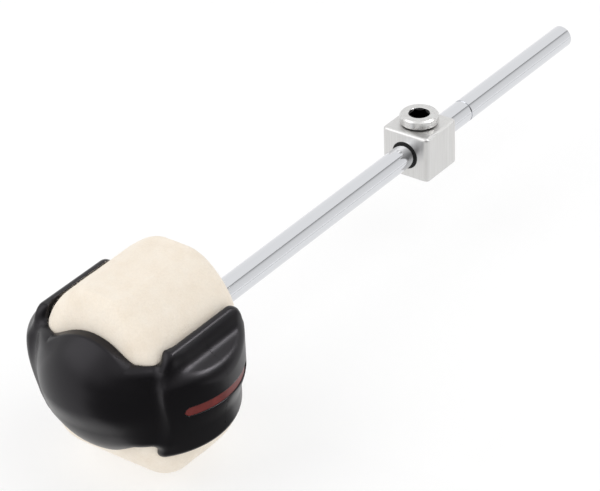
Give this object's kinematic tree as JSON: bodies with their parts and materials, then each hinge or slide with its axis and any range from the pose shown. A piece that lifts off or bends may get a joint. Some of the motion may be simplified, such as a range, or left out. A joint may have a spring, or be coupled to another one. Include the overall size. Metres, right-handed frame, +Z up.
{
  "type": "bass drum beater",
  "caption": "Bass drum pedal beater: chromed rod with a sliding memory lock and a head of felt striking pads held in a black shell with a red core.",
  "frame": {"origin": "on the shaft's axis, at the middle of the plain stretch that a pedal clamps, between the ring groove and the tail's chamfer", "axes": "+X along the shaft from the head towards the tail, +Z up through the upper felt pad and the lock screw, +Y across the head"},
  "size_m": [0.2716, 0.0664, 0.0629],
  "materials": {
    "chrome": "polished chrome plate",
    "steel": "plain turned steel",
    "satin_steel": "satin machined steel",
    "black_steel": "black oxide screws",
    "shell": "satin black moulding",
    "core": "dark red elastomer",
    "felt": "dense cream wool felt",
    "nylon": "black nylon"
  },
  "bodies": {
    "beater": {"shaft": "chrome", "hub": "steel", "hub_pin": "steel", "damper_core": "core", "felt_top": "felt", "felt_bottom": "felt", "shell_front": "shell", "shell_rear": "shell", "shell_screws": "black_steel"},
    "lock_bushes": {"lock_bushes": "nylon"},
    "lock_block": {"lock_block": "satin_steel"},
    "screw_tip": {"screw_tip": "nylon"},
    "lock_screw": {"lock_screw": "satin_steel"}
  },
  "joints": [
    {"name": "lock_slide", "type": "slide", "parent": "beater", "child": "lock_bushes", "axis": [1, 0, 0], "range_m": [-0.105, 0.08]},
    {"name": "lock_turn", "type": "hinge", "parent": "lock_bushes", "child": "lock_block", "pos_m": [-0.05855, 0, 0], "axis": [1, 0, 0], "continuous": true},
    {"name": "lock_screw_lift", "type": "slide", "parent": "lock_block", "child": "screw_tip", "axis": [0, 0, 1], "range_m": [0, 0.0025]},
    {"name": "lock_screw_turn", "type": "hinge", "parent": "screw_tip", "child": "lock_screw", "pos_m": [-0.05855, 0, 0], "axis": [0, 0, 1], "range_deg": [0, 720]}
  ],
  "couplings": [
    {"joint": "lock_screw_turn", "follows": "lock_screw_lift", "rad_per_m": 5026.5}
  ]
}
